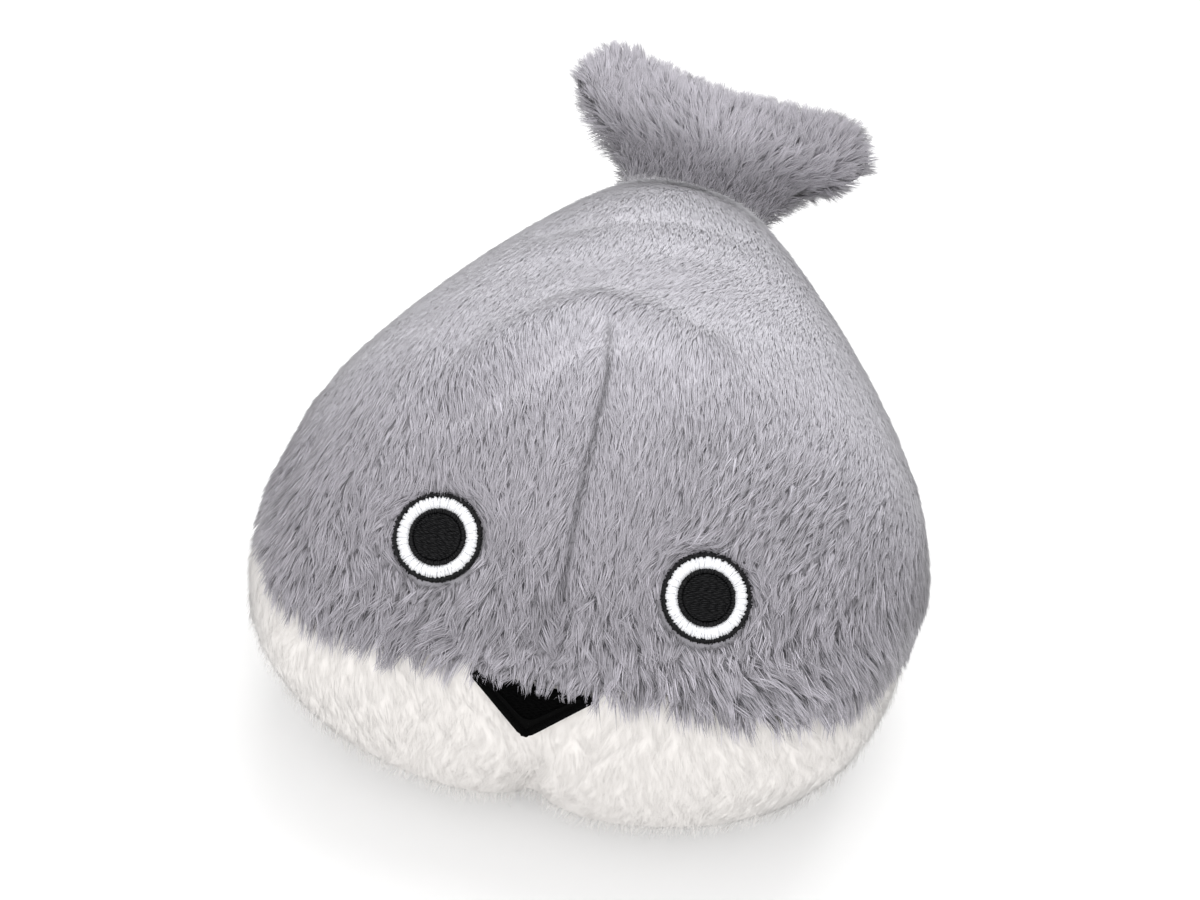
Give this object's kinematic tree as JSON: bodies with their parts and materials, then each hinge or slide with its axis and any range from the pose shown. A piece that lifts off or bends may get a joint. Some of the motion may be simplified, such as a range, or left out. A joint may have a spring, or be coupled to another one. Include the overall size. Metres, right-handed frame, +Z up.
{
  "type": "plush fish",
  "caption": "Stuffed plush fish with a broad grey pile back, white belly, embroidered ring eyes, stitched mouth and a crosswise tail fin that flexes at its seam.",
  "frame": {"origin": "on the floor under the middle of the toy's box", "axes": "+Z up, face towards -Y, tail towards +Y, +X the toy's left"},
  "size_m": [0.1718, 0.245, 0.1118],
  "materials": {
    "grey_pile": "soft grey pile, about 8 mm",
    "white_pile": "soft warm white pile, about 8 mm",
    "black_thread": "black embroidery thread, slight sheen",
    "white_thread": "white embroidery thread, slight sheen",
    "black_felt": "matte black felt",
    "fibre_fill": "white polyester fibre fill",
    "sewing_thread": "grey sewing thread"
  },
  "bodies": {
    "body": {"back_panel": "grey_pile", "belly_panel": "white_pile", "body_stuffing": "fibre_fill", "belly_seam_thread": "sewing_thread", "face_dart_thread": "sewing_thread", "chin_dart_thread": "sewing_thread", "eye_pad_left": "black_felt", "eye_outer_ring_left": "black_thread", "eye_white_ring_left": "white_thread", "eye_pupil_rim_left": "black_thread", "eye_pupil_left": "black_thread", "eye_pad_right": "black_felt", "eye_outer_ring_right": "black_thread", "eye_white_ring_right": "white_thread", "eye_pupil_rim_right": "black_thread", "eye_pupil_right": "black_thread", "mouth_patch": "black_thread", "mouth_border": "black_thread", "tail_root_thread": "sewing_thread"},
    "tail_fin": {"tail_fin_upper_panel": "grey_pile", "tail_fin_lower_panel": "grey_pile", "tail_fin_stuffing": "fibre_fill", "fin_edge_thread": "sewing_thread"}
  },
  "joints": [
    {"name": "tail_flex", "type": "hinge", "parent": "body", "child": "tail_fin", "pos_m": [0.00098, 0.07641, 0.0613], "axis": [0.9951, -0.0469, -0.0872], "range_deg": [-25, 35], "stiffness_Nm_per_rad": 0.15}
  ]
}
